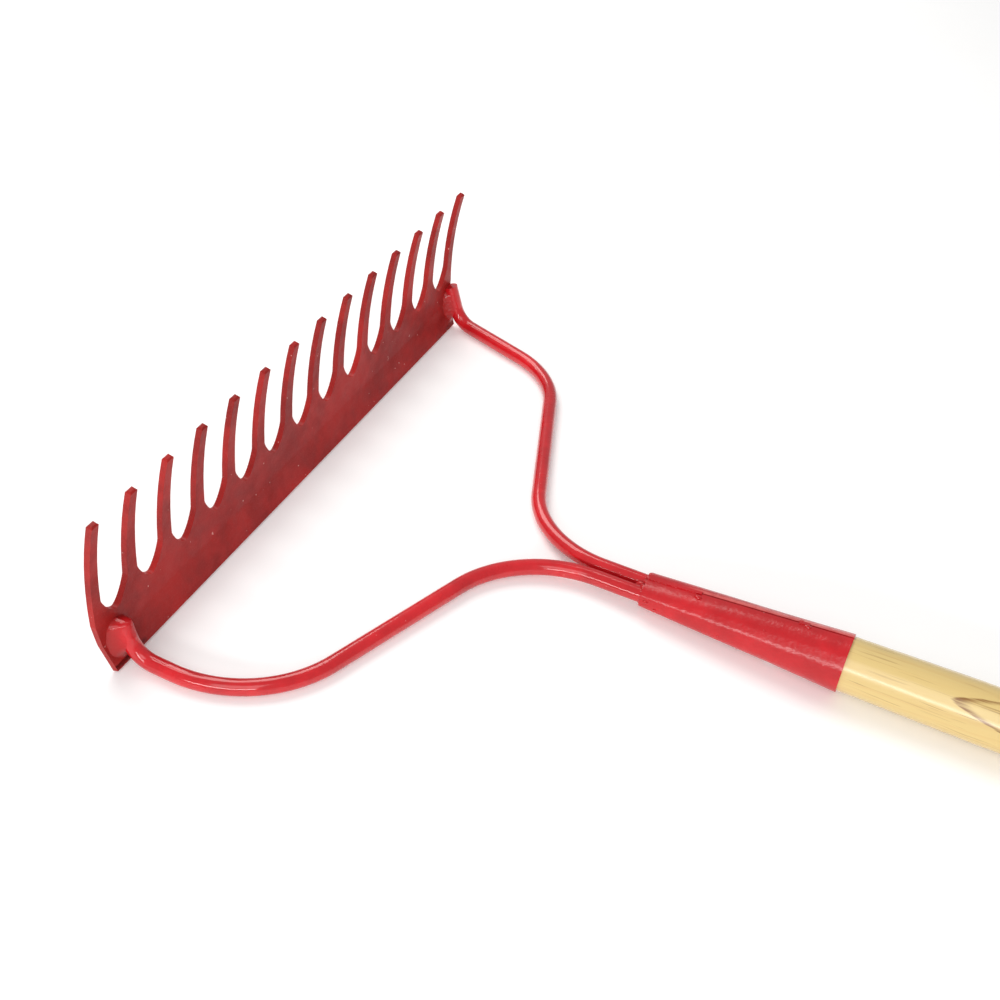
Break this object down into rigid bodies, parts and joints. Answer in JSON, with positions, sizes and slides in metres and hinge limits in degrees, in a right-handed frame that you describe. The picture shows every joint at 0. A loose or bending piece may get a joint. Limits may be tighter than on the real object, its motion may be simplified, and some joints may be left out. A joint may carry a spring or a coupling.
{
  "type": "bow rake",
  "caption": "Garden rake with a bent, toothed steel head on a round-rod bow whose tails meet in a rolled socket on a long wooden handle, for levelling soil.",
  "frame": {"origin": "middle of the head's straight back edge", "axes": "+X along the handle away from the head, +Y across the head, +Z the way the teeth point"},
  "size_m": [1.4269, 0.3432, 0.0976],
  "materials": {
    "red_paint": "gloss powder coat",
    "lacquered_ash": "clear lacquer",
    "zinc_plate": "satin"
  },
  "bodies": {
    "root": {"rake_head": "red_paint", "left_bow_rod": "red_paint", "right_bow_rod": "red_paint", "left_outer_weld": "red_paint", "left_inner_weld": "red_paint", "right_outer_weld": "red_paint", "right_inner_weld": "red_paint", "handle_socket": "red_paint", "socket_rod_weld": "red_paint", "socket_seam_weld": "red_paint", "socket_seam_tack": "red_paint", "wooden_handle": "lacquered_ash", "handle_screw": "zinc_plate"}
  },
  "joints": []
}
